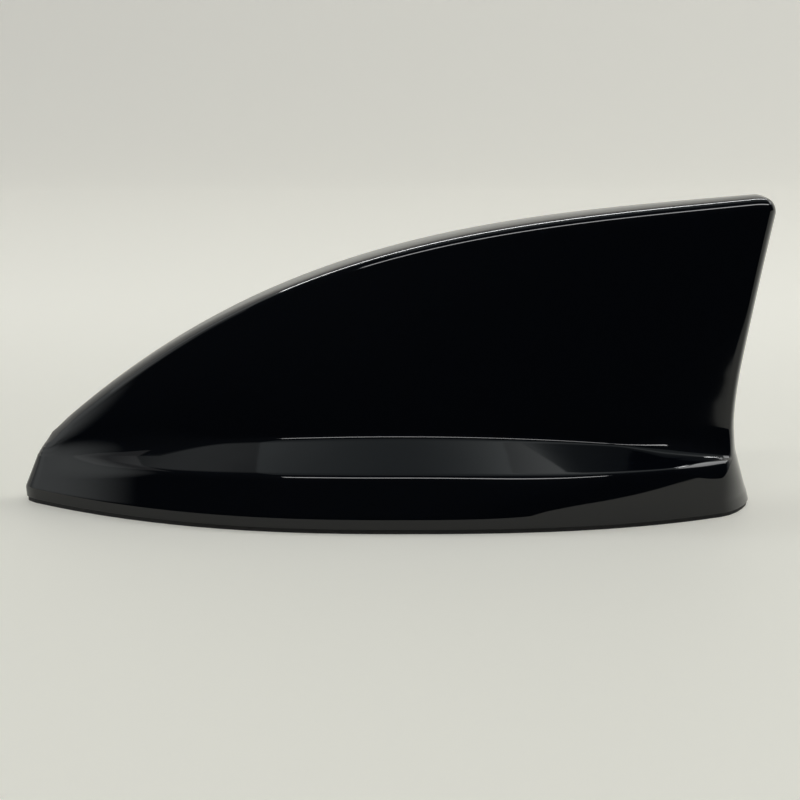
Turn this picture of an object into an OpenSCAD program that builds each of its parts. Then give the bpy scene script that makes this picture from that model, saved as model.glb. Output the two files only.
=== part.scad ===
// Shark fin aerial for a vehicle roof: a moulded gloss shell on a flat, bonded base, with the aerial inside.
// Units are millimetres. X runs from the nose to the tail, Y across, Z up. The origin is in the middle of
// the underside, on the surface that the aerial stands on.

/* [Side view] */
// Overall length, from the nose to the top corner of the tail
fin_l = 168.4; // [160:0.1:180]
// Overall height above the roof
fin_h = 69.4; // [66:0.1:76]
// How far the top corner of the tail overhangs the foot
tail_overhang = 3.8; // [2:0.1:6]
// Height at which the nose front turns into the ridge
knee_z = 15.8; // [14:0.1:17]
// Angle that the nose front leans back
nose_lean = 23; // [15:1:28]
// Slope of the ridge where it meets the tail corner, as a fraction
ridge_end_slope = 0.085; // [0.07:0.005:0.1]
// Fullness of the ridge curve
ridge_power = 3.2; // [3:0.05:3.4]
// Radius of the top corner of the tail
tail_corner_r = 4.6; // [3:0.1:6]
// Height of the waist, the narrowest place of the trailing edge
waist_z = 25; // [20:1:30]
// How far the foot flares out behind the waist
foot_flare = 4.6; // [3:0.1:6]
// How late the flare sets in, from the waist down
flare_power = 2.6; // [2.2:0.1:4]

/* [Plan view] */
// Width at the foot
base_w = 62.8; // [58:0.1:70]
// Half width of the nose front
nose_half = 4.6; // [4.2:0.1:6]
// Depth of the rounding of the nose front
nose_round = 3.3; // [2.4:0.1:4]
// Half width of the tail where its rounding starts, at the foot
tail_half = 16.8; // [15:0.1:19]
// Depth of the rounding of the tail, at the foot
tail_round = 8.2; // [6:0.1:10]
// Fullness of the foot towards the nose
front_power = 2.35; // [2.1:0.05:2.6]
// Fullness of the foot towards the tail
rear_power = 2.7; // [2.3:0.05:3]

/* [Shoulder] */
// How far the lower crease stands in from the foot at mid length
low_inset = 3.4; // [3:0.1:4.4]
// Height of the lower crease
low_z = 11.7; // [11:0.1:12.5]
// Half width at the upper crease
high_half = 19; // [18:0.1:21]
// Height of the upper crease
high_z = 18.6; // [17.5:0.1:21]
// Half width of the tail where its rounding starts, at the lower crease
low_tail_half = 15.5; // [14.5:0.1:16]
// Depth of the rounding of the tail, at the lower crease
low_tail_round = 5.5; // [4.5:0.1:6.5]
// Half width of the tail at the upper crease
high_tail_half = 11.3; // [10:0.1:12]
// How far each crease moves away from the other round the tail
crease_part = 3; // [2:0.1:3.4]
// Size of the rounding of the two creases along the side
crease_r = 0.8; // [0.4:0.1:1.4]
// How far the side wall bulges out between the upper crease and the crown
side_bulge = 0.7; // [0:0.1:1.2]

/* [Crown] */
// Half width of the crown at mid length
crown_half = 7.4; // [6.6:0.1:9]
// Half width of the crown at the tail
crown_tail_half = 4.6; // [4.2:0.1:5.4]
// Half width of the crown at the nose
crown_nose_half = 2.7; // [2.6:0.1:3.4]
// Drop from the crest to the edge of the crown
crown_drop = 0.9; // [0.5:0.1:1.3]
// Size of the rounding between the crown and the side
crown_round = 2; // [1.2:0.1:2.4]

/* [Shell] */
// Wall of the moulded shell
wall = 2.2; // [1.8:0.1:2.4]
// Height of the upright rim around the foot, above the seal
rim_h = 2.2; // [1.6:0.1:2.6]
// Outer radius of a screw boss
boss_r = 3.1; // [2.8:0.1:3.4]
// Distance of the front pair of bosses ahead of the circuit board
front_boss_gap = 8; // [7.5:0.1:9]
// Place of the middle pair of bosses along the base
mid_boss_x = 2; // [-4:0.5:8]
// Distance of the rear pair of bosses behind the circuit board
rear_boss_gap = 7; // [6.5:0.1:8]

/* [Base] */
// Thickness of the weather seal and of the bonding pads
seal_t = 1; // [0.8:0.1:1.4]
// How far the seal stays inside the rim
seal_inset = 0.5; // [0.3:0.1:0.8]
// Width of the seal ring
seal_w = 6.5; // [5.5:0.1:7]
// Thickness of the base plate
plate_t = 2.6; // [2.3:0.1:3]
// Gap between the base plate and the shell
plate_gap = 0.3; // [0.2:0.05:0.5]
// Gap between the seal and the bonding pads, and between the two pads
pad_gap = 1.2; // [0.8:0.1:2]
// Place along the base where the front pad ends
pad_split_x = -20; // [-30:1:-12]
// Radius of the lead's hole in the grommet
lead_r = 1.6; // [1.3:0.1:1.9]
// Radius of the hole for the grommet in the base plate
grommet_hole_r = 4; // [3.6:0.1:4.4]
// How far the grommet's flanges reach past that hole
grommet_flange = 1.4; // [1:0.1:1.8]
// Thickness of the grommet's upper flange
grommet_flange_t = 1.2; // [0.8:0.1:1.6]
// Distance of the grommet from the rear of the foot
grommet_back = 20.4; // [19.5:0.1:21.5]

/* [Fasteners] */
// Shank radius of the screws that hold the base plate
screw_r = 1.3; // [1.1:0.05:1.4]
// Head radius of those screws
screw_head_r = 2.6; // [2.3:0.1:2.8]
// Head height of those screws
screw_head_h = 1.3; // [1:0.1:1.4]
// Length of those screws under the head
screw_l = 6.5; // [5.5:0.1:7]
// Shank radius of the board screws
board_screw_r = 1; // [0.8:0.05:1.1]
// Head radius of the board screws
board_head_r = 1.9; // [1.6:0.1:2.1]
// Head height of the board screws
board_head_h = 1.2; // [0.9:0.1:1.4]
// Length of the board screws under the head
board_screw_l = 4.6; // [4:0.1:5]
// Gap between a screw and the hole that it passes through
screw_gap = 0.2; // [0.1:0.05:0.3]

/* [Circuit board] */
// Thickness of the circuit board
board_t = 1.6; // [1.2:0.1:2]
// Width of the circuit board
board_w = 30; // [29:0.5:31]
// Place of the middle of the board along the base
board_x = 1; // [0:0.5:2]
// Height of the posts that carry the board
post_h = 3; // [2.6:0.1:3.6]
// Outer radius of the posts
post_r = 2.4; // [2.1:0.1:2.6]
// Distance of the posts from the edges of the board
post_inset = 3; // [2.8:0.1:3.4]
// Thickness of the ribs on the base plate
rib_t = 1.2; // [1:0.1:1.6]
// Side of the ceramic patch
patch_side = 25; // [24:0.5:26]
// Thickness of the ceramic patch
patch_t = 4; // [3:0.1:4.5]
// Thickness of the foam tape under the patch
patch_pad_t = 0.8; // [0.6:0.1:1.2]
// Gap between the patch and the front end of the board
patch_gap = 7; // [6:0.5:8]
// Side of the silver electrode on the patch
electrode_side = 20; // [18:0.5:21]
// Length of the shield can
can_l = 24; // [22:0.5:25]
// Gap between the patch and the shield can
can_gap = 1; // [0.8:0.1:2]
// Width of the shield can
can_w = 17; // [16:0.5:19]
// Height of the shield can
can_h = 4.2; // [3.6:0.1:5]
// Thickness of the shield can and of the electrode
foil_t = 0.3; // [0.2:0.05:0.4]

/* [Radiator] */
// Thickness of the upright carrier
carrier_t = 3; // [2.6:0.1:3.2]
// How far the top of the carrier reaches ahead of its foot
carrier_front = 18; // [17:0.5:19]
// Distance of the carrier's top from the tail end of the ridge
tail_room = 31; // [30.5:0.1:33]
// Gap between the shield can and the carrier's foot
foot_gap = 4; // [3.5:0.1:5]
// Length of the carrier's foot
foot_l = 19; // [18:0.5:20]
// Room on the board behind the carrier's foot
rear_room = 12; // [12:0.1:14]
// Half width of the carrier's foot
foot_half = 2.8; // [2.4:0.1:3]
// Radius of the pegs under the carrier's foot
peg_r = 1; // [0.8:0.05:1.1]
// Height of the underside of the carrier over the shield can
bridge_z = 24; // [20:0.5:28]
// Gap between the inside of the shell and the roof plate
head_gap = 2; // [1.6:0.1:3]
// Thickness of the sheet metal
sheet_t = 0.5; // [0.4:0.05:0.6]
// Half width of the roof plate on the carrier
roof_half = 3.4; // [3.1:0.1:3.5]
// Depth of the roof plate's side flanges
flange_d = 6; // [4:0.5:8]
// Width of the radiator strip
strip_w = 3; // [2.4:0.1:3.6]
// Radius of the coil, to the middle of its wire
coil_r = 3.4; // [3.2:0.1:3.5]
// Radius of the coil's wire
wire_r = 0.4; // [0.3:0.05:0.45]
// Turns of the coil
coil_turns = 5; // [4:1:6]
// Rise of one turn of the coil
coil_pitch = 1.7; // [1.5:0.1:1.9]
// Distance of the coil behind the carrier's foot
coil_gap = 5; // [4.8:0.1:5.2]
// Distance of the coil from the board's side edge
coil_edge = 7.4; // [7.2:0.1:7.6]

/* [Hidden] */

// Steps of the shell's mesh: along each end rounding, and along each run from an end to the middle
cap_steps = 6;
run_steps = 15;
// Overlap that joins two shapes of one piece
join = 0.4;

// Places along the length and the height
nose_x0 = -fin_l / 2;
tail_x1 = fin_l / 2;
foot_x1 = tail_x1 - tail_overhang;
mid_x = 0;
low_half = base_w / 2 - low_inset;
rim_z = seal_t + rim_h;
plate_top = seal_t + plate_t;
board_z = plate_top + post_h;
board_top = board_z + board_t;
grommet_x = foot_x1 - grommet_back;
corner_z = fin_h - tail_corner_r;
waist_x = foot_x1 - foot_flare;
// How far the knee's rounding sets the ridge back from the line of the nose front
knee_soft = 0.98;
ridge_x0 = nose_x0 + (knee_z - rim_z) * tan(nose_lean) + knee_soft;
ridge_x1 = tail_x1 - tail_corner_r;

// Places along the board: the patch, the shield can and the carrier's foot stand one behind the other
board_l = patch_gap + patch_side + can_gap + can_l + foot_gap + foot_l + rear_room;
board_x0 = board_x - board_l / 2;
board_x1 = board_x + board_l / 2;
patch_x = board_x0 + patch_gap + patch_side / 2;
can_x = board_x0 + patch_gap + patch_side + can_gap + can_l / 2;
foot_x = can_x + can_l / 2 + foot_gap;
coil_x = foot_x + foot_l + coil_gap;
coil_y = coil_edge - board_w / 2;
carrier_x0 = foot_x - carrier_front;
carrier_x1 = ridge_x1 - tail_room;

function lerp(a, b, t) = a + (b - a) * t;
function clamp(v, lo, hi) = min(max(v, lo), hi);

// A step from 0 to 1 that starts and ends softly
function smooth(v) = let(t = clamp(v, 0, 1)) t * t * (3 - 2 * t);

// A ramp that starts softly over the distance w on each side of zero
function soft_ramp(d, w) = d < -w ? 0 : d > w ? d : pow(d + w, 2) / (4 * w);

// Nose front and trailing edge in the side view, at the height z
waist_soft = 8;
flare_z = 1.5;
function nose_x(z) = nose_x0 + max(0, z - rim_z) * tan(nose_lean);
function back_x(z) = waist_x
    + (tail_x1 - waist_x) * soft_ramp(z - waist_z, waist_soft) / (corner_z - waist_z)
    + foot_flare * pow(clamp((waist_z - z) / (waist_z - flare_z), 0, 1), flare_power);

// Crest of the ridge in the side view, at the place x, and how much its slope lengthens a wall's drop
ridge_l = ridge_x1 - ridge_x0;
ridge_rise = fin_h - knee_z - ridge_end_slope * ridge_l;
function ridge_z(x) = let(part = clamp((x - ridge_x0) / ridge_l, 0, 1))
    knee_z + ridge_rise * (1 - pow(1 - part, ridge_power)) + ridge_end_slope * ridge_l * part;
function ridge_steep(x) = norm([1, ridge_z(x + 1) - ridge_z(x)]);

// A level line runs around the fin from the nose to the tail. It is a list of: its ends along X, the
// half widths at the nose rounding, at the middle and at the tail rounding, the depths of the two
// roundings, and the fullness of the front and of the rear.
nose_square = 2.6;
function end_cap(q, power) = q >= 1 ? 1 : q <= 0 ? 0 : pow(1 - pow(1 - q, power), 1 / power);
function cap_y(n, x) = end_cap((x - n[0]) / n[5], nose_square) * end_cap((n[1] - x) / n[6], 2);
function line_y(n, x) = let(
        front = clamp((mid_x - x) / (mid_x - n[0] - n[5]), 0, 1.2),
        rear = clamp((x - mid_x) / (n[1] - n[6] - mid_x), 0, 1.2),
        side = x < mid_x ? n[2] + (n[3] - n[2]) * (1 - pow(front, n[7]))
            : n[4] + (n[3] - n[4]) * (1 - pow(rear, n[8])))
    max(side, 0.2 * n[2]) * cap_y(n, x);

// Stations along a level line: the nose rounding, the two runs and the tail rounding
stations = [
    for (i = [0 : cap_steps - 1]) [0, i / cap_steps],
    for (i = [0 : run_steps - 1]) [1, i / run_steps],
    for (i = [0 : run_steps - 1]) [2, i / run_steps],
    for (i = [0 : cap_steps]) [3, i / cap_steps]];
function line_x(n, s) =
    s[0] == 0 ? n[0] + n[5] * (1 - cos(90 * s[1])) :
    s[0] == 1 ? lerp(n[0] + n[5], mid_x, s[1]) :
    s[0] == 2 ? lerp(mid_x, n[1] - n[6], s[1]) :
    n[1] - n[6] * (1 - sin(90 * s[1]));
// How far round the tail a station is, from 0 on the side to 1 on the middle plane
function tail_part(s) = s[0] == 3 ? 1 - cos(90 * s[1]) : 0;

// Level lines of the foot, of the rim's upper edge and of the two creases, drawn in by the wall w
function foot_line(w) = [nose_x0 + w, foot_x1 - w, nose_half - w, base_w / 2 - w, tail_half - w,
    nose_round - 0.6 * w, tail_round, front_power, rear_power];
function rim_line(w) = [nose_x0 + w, back_x(rim_z) - w, nose_half - w, base_w / 2 - w, tail_half - w,
    nose_round - 0.6 * w, tail_round, front_power, rear_power];
low_nose_drop = 2.9;
low_tail_rise = 0.4;
low_nose_z = low_z - low_nose_drop;
low_tail_z = low_z + low_tail_rise;
low_rear_power = 3.4;
function low_line(w) = [nose_x(low_nose_z) + w, back_x(low_tail_z - crease_part) - w, nose_half - 0.5 - w,
    low_half - w, low_tail_half - w, nose_round - 0.4 - 0.6 * w, low_tail_round, front_power, low_rear_power];
high_nose_drop = 3.9;
high_tail_rise = 0.7;
high_nose_z = knee_z - high_nose_drop;
high_tail_z = low_z + high_tail_rise;
high_tail_round = 2.4;
function high_line(w) = [nose_x(high_nose_z) + w, back_x(high_tail_z + crease_part) - w,
    nose_half - 1.2 - w, high_half - w, high_tail_half - w, nose_round - 0.9 - 0.4 * w, high_tail_round,
    2.2, 1.9];

// Heights of the two creases along the length: an arch that falls off towards both ends
function arch_z(x, mid, nose, tail, front, rear) = x < mid_x
    ? lerp(mid, nose, pow(clamp((mid_x - x) / (mid_x - nose_x0), 0, 1), front))
    : lerp(mid, tail, pow(clamp((x - mid_x) / (waist_x - mid_x), 0, 1), rear));
function low_crease_z(x) = arch_z(x, low_z, low_nose_z, low_tail_z, 2.5, 3);
function high_crease_z(x) = arch_z(x, high_z, high_nose_z, high_tail_z, 1.8, 2);

// Level line at the edge of the crown. The depth d places its nose on the round knee, and the angle a places
// its tail on the round top corner.
side_depth = crown_drop + crown_round;
knee_x = nose_x(knee_z - side_depth);
knee_lean = side_depth * tan(nose_lean);
crown_nose_round = nose_round - 1.6;
crown_tail_round = 2.2;
function knee_nose(d) = let(up = 1 - d / side_depth)
    knee_x + knee_lean * up + (ridge_x0 - knee_x - knee_lean) * up * up;
function crown_line(w, d, a) = [knee_nose(d) + w, ridge_x1 + (tail_corner_r - w) * cos(a),
    crown_nose_half - w, crown_half - w, crown_tail_half - w, crown_nose_round, crown_tail_round, 3, 2];
function crown_tail_z(w, a) = corner_z + (tail_corner_r - w) * sin(a);

// A point of the crown: the part h of its half width, moved out by the step y and down by the depth d
function crown_point(s, w, h, y, d, a) = let(
        n = crown_line(w, d, a),
        x = line_x(n, s),
        z = ridge_z(x) - w * ridge_steep(x) - d,
        z_end = ridge_z(ridge_x1) - w - d)
    [x, line_y(n, x) * h + y * cap_y(n, x), z - (z_end - crown_tail_z(w, a)) * tail_part(s)];

// Part of the crown's half width before its rounding, which is less towards the nose
function flat_part(s) = let(along = s[0] == 0 ? 0 : s[0] == 1 ? s[1] : 1)
    lerp(0.3, 1 - crown_round / crown_half, smooth(1.3 * along));

// Rounded corner between the crown and the side: a curve pulled to the corner
function bend(a, b, c, t) = a * pow(1 - t, 2) + 2 * b * t * (1 - t) + c * t * t;

// Rows of the outer skin in each of its runs
crown_rows = 3;
round_rows = 3;
wall_rows = 5;
shoulder_rows = 2;
skirt_rows = 5;
// Angle on the tail corner at which the crown ends and its rounding begins
round_a = 45;
side_step = 0.3 * crown_round;

// The side wall between the crown's rounding and the upper crease. It bulges a little at the front, where it
// is at least bulge_rise high.
bulge_rise = 20;
function wall_point(top, foot, t, bulge, s) = let(
        p = lerp(top, foot, t),
        end = s[0] == 0 ? sin(90 * s[1]) : s[0] == 3 ? cos(90 * s[1]) : 1,
        lean = back_x(p[2]) - lerp(back_x(top[2]), back_x(foot[2]), t),
        rear = clamp((p[0] - mid_x) / (tail_x1 - mid_x), 0, 1),
        rise = clamp((top[2] - foot[2]) / bulge_rise, 0, 1))
    [p[0] + lean * pow(rear, 3), p[1] + 4 * bulge * rise * t * (1 - t) * end * (1 - rear), p[2]];

// Points of the two creases and of the rim at the station s
function high_point(s, w) = let(
        n = high_line(w),
        x = line_x(n, s),
        under_side = ridge_z(x) - w * ridge_steep(x) - side_depth - 0.5)
    [x, line_y(n, x), min(high_crease_z(x) + crease_part * tail_part(s) - 0.6 * w, under_side)];
function low_point(s, w) = let(n = low_line(w), x = line_x(n, s))
    [x, line_y(n, x), low_crease_z(x) - crease_part * tail_part(s) - 0.6 * w];
function foot_point(s, w, z) = let(n = z > seal_t ? rim_line(w) : foot_line(w), x = line_x(n, s))
    [x, line_y(n, x), z];

// The skirt between the lower crease and the rim: flat at the front, upright at the rear, and hollow where it
// runs round the tail
upright_x = 5;
upright_run = 40;
function skirt_point(low, rim, t, s) = let(
        upright = smooth((rim[0] - upright_x) / upright_run),
        u = lerp(lerp(t, 1 - pow(1 - t, 2.2), upright), pow(t, 1.5), tail_part(s)))
    [lerp(low[0], rim[0], u), lerp(low[1], rim[1], u), lerp(low[2], rim[2], t)];

// Size of the rounding of each crease at the place x, which grows towards both ends
soft_nose = 39.2;
soft_tail = 26.2;
function high_round(x) = crease_r + 5 * smooth((nose_x0 + soft_nose + 10 - x) / 30)
    + 5 * smooth((x - tail_x1 + soft_tail + 10) / 20);
function low_round(x) = crease_r + 2 * smooth((nose_x0 + soft_nose - x) / 30)
    + 2.5 * smooth((x - tail_x1 + soft_tail) / 14);
// Part of a run that a rounding of the size r takes from it
function round_share(r, from, to) = min(r / norm(to - from), 0.45);

// Outside of the shell at one station, from the crest down to the lower edge of the rim
function outer_profile(s) = let(
        flat = flat_part(s),
        side = crown_point(s, 0, 1, side_step, side_depth, 0),
        high = high_point(s, 0),
        low = low_point(s, 0),
        rim = foot_point(s, 0, rim_z),
        wall_end = 1 - round_share(high_round(high[0]), side, high),
        wall_run = [for (k = [1 : wall_rows])
            wall_point(side, high, wall_end * k / wall_rows, side_bulge, s)],
        high_end = round_share(high_round(high[0]), high, low),
        low_end = 1 - round_share(low_round(low[0]), high, low),
        shoulder_run = [for (k = [0 : shoulder_rows])
            wall_point(high, low, lerp(high_end, low_end, k / shoulder_rows), 0, s)],
        skirt_end = round_share(low_round(low[0]), low, rim),
        skirt_run = [for (k = [0 : skirt_rows])
            skirt_point(low, rim, lerp(skirt_end, 1, k / skirt_rows), s)])
    concat(
        [crown_point(s, 0, 0, 0, 0, 90)],
        [for (k = [1 : crown_rows]) let(t = k / crown_rows)
            crown_point(s, 0, flat * t, 0, crown_drop * pow(flat * t, 2), lerp(90, round_a, t))],
        [for (k = [1 : round_rows]) let(t = k / round_rows)
            crown_point(s, 0, bend(flat, 1, 1, t), bend(0, 0, side_step, t),
                bend(crown_drop * flat * flat, crown_drop, side_depth, t), lerp(round_a, 0, t))],
        wall_run,
        [bend(wall_run[wall_rows - 1], high, shoulder_run[0], 0.5)],
        shoulder_run,
        [bend(shoulder_run[shoulder_rows], low, skirt_run[0], 0.5)],
        skirt_run,
        [foot_point(s, 0.2, seal_t)]);

// Inside of the shell at one station, with the upright seat for the base plate at its foot
seat_z = plate_top + plate_gap;
function inner_profile(s) = let(
        side = crown_point(s, wall, 1, 0, side_depth, 0),
        high = high_point(s, wall),
        low = low_point(s, wall),
        seat = foot_point(s, wall, seat_z))
    [crown_point(s, wall, 0, 0, 0, 90),
        crown_point(s, wall, 0.6, 0, 0.3 * crown_drop, 45),
        side,
        wall_point(side, high, 1 / 3, 0.8 * side_bulge, s),
        wall_point(side, high, 2 / 3, 0.8 * side_bulge, s),
        high,
        low,
        skirt_point(low, seat, 0.3, s),
        skirt_point(low, seat, 0.6, s),
        seat,
        foot_point(s, wall, seal_t)];

// The two skins as rows that run from the nose to the tail
function as_rows(profiles) = [for (r = [0 : len(profiles[0]) - 1]) [for (p = profiles) p[r]]];
outer_skin = as_rows([for (s = stations) outer_profile(s)]);
inner_skin = as_rows([for (s = stations) inner_profile(s)]);

// A closed mesh from two nested skins. The first row of each skin lies on the middle plane.
last = len(stations) - 1;
loop = 2 * last;
function skin_points(skin) = [
    for (p = skin[0]) [p[0], 0, p[2]],
    for (r = [1 : len(skin) - 1]) each [
        for (i = [0 : last]) [skin[r][i][0], -skin[r][i][1], skin[r][i][2]],
        for (i = [last - 1 : -1 : 1]) skin[r][i]]];
function at(r, k) = let(j = k % loop) r == 0 ? (j <= last ? j : loop - j) : last + 1 + (r - 1) * loop + j;
function quad(a, b, c, d) = [if (a != b && b != c && a != c) [a, b, c],
    if (a != c && c != d && a != d) [a, c, d]];
function skin_faces(rows, start) = [for (r = [0 : rows - 2]) for (k = [0 : loop - 1])
    each quad(start + at(r, k), start + at(r, k + 1), start + at(r + 1, k + 1), start + at(r + 1, k))];
function flip(faces) = [for (f = faces) [f[0], f[2], f[1]]];

module moulded_skin() {
    outer = skin_points(outer_skin);
    inner = skin_points(inner_skin);
    n = len(outer);
    ro = len(outer_skin) - 1;
    ri = len(inner_skin) - 1;
    sole = [for (k = [0 : loop - 1])
        each quad(at(ro, k), at(ro, k + 1), n + at(ri, k + 1), n + at(ri, k))];
    polyhedron(points = concat(outer, inner),
        faces = concat(skin_faces(ro + 1, 0), flip(skin_faces(ri + 1, n)), sole), convexity = 6);
}

// Shape of the foot in plan, drawn in by w, and a shape drawn further in for the seal and the pads
module plan_shape(n) {
    half = [for (s = stations) let(x = line_x(n, s)) [x, line_y(n, x)]];
    polygon(concat([for (p = half) [p[0], -p[1]]], [for (i = [last - 1 : -1 : 1]) half[i]]));
}
function inset_line(w) = [nose_x0 + 1.6 * w, foot_x1 - w, 1.6, base_w / 2 - w, tail_half - 0.65 * w,
    1.5, 0.75 * tail_round, front_power, rear_power];

// Height of the shoulder's outside at the place x, y
function shoulder_z(x, y) = let(
        low = line_y(low_line(0), x),
        high = line_y(high_line(0), x))
    lerp(low_crease_z(x), high_crease_z(x), clamp((low - y) / (low - high), 0, 1));

// The six screw bosses stand inside the skirt and run up into the shoulder's wall
boss_margin = 1;
function boss_y(x) = line_y(low_line(wall), x) - boss_r - boss_margin;
function boss_top(x) = shoulder_z(x, boss_y(x) + boss_r) - wall / 2;
module at_bosses() {
    for (x = [board_x0 - front_boss_gap, mid_boss_x, board_x1 + rear_boss_gap])
        for (side = [-1, 1])
            let($boss_x = x)
                translate([x, side * boss_y(x), 0])
                    rotate([0, 0, side < 0 ? 180 : 0])
                        children();
}
pilot_depth = screw_l - (plate_t - screw_head_h) + 0.6;

// Rib from a boss out to the skirt, drawn as its profile across the shell
gusset_z0 = seat_z + 0.6;
gusset_t = 1.2;
module gusset() {
    x = $boss_x;
    y = boss_y(x);
    low = line_y(low_line(wall), x) + wall / 2;
    foot = line_y(foot_line(wall), x) + wall / 4;
    top = low_crease_z(x) - 0.6 * wall;
    translate([gusset_t / 2, 0, 0])
        rotate([90, 0, -90])
            linear_extrude(gusset_t)
                polygon([[0, gusset_z0], [-(foot - y), gusset_z0], [-(low - y), top], [0, top]]);
}

module shell() {
    color([0.02, 0.02, 0.025]) difference() {
        union() {
            moulded_skin();
            at_bosses() {
                translate([0, 0, plate_top]) cylinder(r = boss_r, h = boss_top($boss_x) - plate_top, $fn = 32);
                gusset();
            }
        }
        at_bosses() translate([0, 0, plate_top - join]) cylinder(r = screw_r, h = pilot_depth + join, $fn = 32);
    }
}

module weather_seal() {
    color([0.09, 0.09, 0.09]) linear_extrude(seal_t) difference() {
        plan_shape(foot_line(seal_inset));
        plan_shape(inset_line(seal_inset + seal_w));
    }
}

// Places of the four board screws and of the ribs under the board
module at_posts() {
    for (x = [board_x0 + post_inset, board_x1 - post_inset])
        for (y = [-1, 1])
            translate([x, y * (board_w / 2 - post_inset), 0]) children();
}
rib_h = post_h - 0.6;
rib_y = 8;
rib_end = 6;
cross_ribs = 4;
post_bore = board_screw_l - board_t + 0.6;

module plate_ribs() {
    long = board_l - 2 * rib_end;
    for (side = [-1, 1])
        translate([board_x0 + rib_end, side * rib_y - rib_t / 2, plate_top - join])
            cube([long, rib_t, rib_h + join]);
    for (i = [0 : cross_ribs - 1])
        translate([board_x0 + rib_end + (i + 0.5) * long / cross_ribs, -rib_y, plate_top - join])
            cube([rib_t, 2 * rib_y, rib_h + join]);
}

module base_plate() {
    color([0.16, 0.16, 0.17]) difference() {
        union() {
            translate([0, 0, seal_t]) linear_extrude(plate_t) plan_shape(rim_line(wall + plate_gap));
            plate_ribs();
            at_posts() translate([0, 0, plate_top - join]) cylinder(r = post_r, h = post_h + join, $fn = 32);
        }
        at_posts() translate([0, 0, board_z - post_bore])
            cylinder(r = board_screw_r, h = post_bore + join, $fn = 32);
        at_bosses() {
            translate([0, 0, seal_t - join]) cylinder(r = screw_r + screw_gap, h = plate_t + 2 * join, $fn = 32);
            translate([0, 0, seal_t - join])
                cylinder(r = screw_head_r + screw_gap, h = screw_head_h + join, $fn = 32);
        }
        translate([grommet_x, 0, seal_t - join]) cylinder(r = grommet_hole_r, h = plate_t + 2 * join, $fn = 48);
    }
}

// The bonding pads fill the space inside the seal, split across at pad_split_x
flange_r = grommet_hole_r + grommet_flange;
module pad_area() {
    linear_extrude(seal_t) plan_shape(inset_line(seal_inset + seal_w + pad_gap));
}
module bond_pad_front() {
    color([0.25, 0.25, 0.26]) intersection() {
        pad_area();
        translate([nose_x0, -base_w / 2, -join])
            cube([pad_split_x - pad_gap / 2 - nose_x0, base_w, seal_t + 2 * join]);
    }
}
module bond_pad_rear() {
    color([0.25, 0.25, 0.26]) difference() {
        intersection() {
            pad_area();
            translate([pad_split_x + pad_gap / 2, -base_w / 2, -join])
                cube([foot_x1 - pad_split_x, base_w, seal_t + 2 * join]);
        }
        translate([grommet_x, 0, -join]) cylinder(r = flange_r + pad_gap / 2, h = seal_t + 2 * join, $fn = 48);
    }
}

// Grommet, turned about the lead's axis: a neck between two flanges
grommet_z0 = 0.1;
module cable_grommet() {
    color([0.11, 0.11, 0.11]) translate([grommet_x, 0, 0]) rotate_extrude($fn = 48) polygon([
        [lead_r, grommet_z0],
        [flange_r, grommet_z0],
        [flange_r, seal_t],
        [grommet_hole_r, seal_t],
        [grommet_hole_r, plate_top],
        [flange_r, plate_top],
        [flange_r - 0.6, plate_top + grommet_flange_t],
        [lead_r, plate_top + grommet_flange_t]]);
}

module screw(r, head_r, head_h, l) {
    cylinder(r = head_r, h = head_h, $fn = 32);
    translate([0, 0, head_h - join]) cylinder(r = r, h = l + join, $fn = 32);
}
module base_screws() {
    color("silver") at_bosses() translate([0, 0, seal_t]) screw(screw_r, screw_head_r, screw_head_h, screw_l);
}
module board_screws() {
    color("silver") at_posts() translate([0, 0, board_top + board_head_h]) rotate([180, 0, 0])
        screw(board_screw_r, board_head_r, board_head_h, board_screw_l);
}

// Radiator strip, pegs of the carrier and feed pin of the patch
strip_inset = 5;
strip_x = foot_x + foot_l - strip_inset;
spring_w = 2.4;
peg_inset = 3;
peg_x = [foot_x + peg_inset, foot_x + foot_l - peg_inset];
pin_r = 0.5;
pin_gap = 0.1;
peg_gap = 0.1;
feed_offset = 2;

// The board is notched round any boss that stands close to it
notch_gap = 0.6;
module circuit_board() {
    color([0.06, 0.3, 0.14]) difference() {
        translate([board_x0, -board_w / 2, board_z]) cube([board_l, board_w, board_t]);
        at_posts() translate([0, 0, board_z - join])
            cylinder(r = board_screw_r + screw_gap, h = board_t + 2 * join, $fn = 32);
        at_bosses() translate([0, 0, board_z - join])
            cylinder(r = boss_r + notch_gap, h = board_t + 2 * join, $fn = 32);
        for (x = peg_x)
            translate([x, 0, board_z - join]) cylinder(r = peg_r + peg_gap, h = board_t + 2 * join, $fn = 32);
        translate([patch_x + feed_offset, 0, board_z - join])
            cylinder(r = pin_r + pin_gap, h = board_t + 2 * join, $fn = 24);
    }
}

can_hole_r = 0.7;
module shield_can() {
    color([0.75, 0.76, 0.78]) difference() {
        translate([can_x - can_l / 2, -can_w / 2, board_top]) cube([can_l, can_w, can_h]);
        translate([can_x - can_l / 2 + foil_t, -can_w / 2 + foil_t, board_top - join])
            cube([can_l - 2 * foil_t, can_w - 2 * foil_t, can_h - foil_t + join]);
        for (i = [-2 : 2])
            translate([can_x + i * can_l / 6, 0, board_top + can_h - 2 * foil_t])
                cylinder(r = can_hole_r, h = 3 * foil_t, $fn = 24);
    }
}

// Sizes of the small parts on the board, and the steps from one to the next
chip_side = 5;
chip_h = 0.9;
filter_side = 3.8;
filter_h = 1.4;
filter_step = 6;
filter_gap = 1.9;
cap_l = 2;
cap_w = 1.25;
cap_h = 0.9;
cap_step = 3.4;
inductor_l = 2.5;
inductor_w = 2;
inductor_h = 1.8;
inductor_step = 4.4;
// Distance of each row from the board's edge
filter_row = 5.5;
cap_row = 6;
inductor_row = 2.6;
// Distance of the two rows under the can from the middle, and of the inductors from the carrier's foot
can_row = 3;
inductor_lead = 2;

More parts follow.
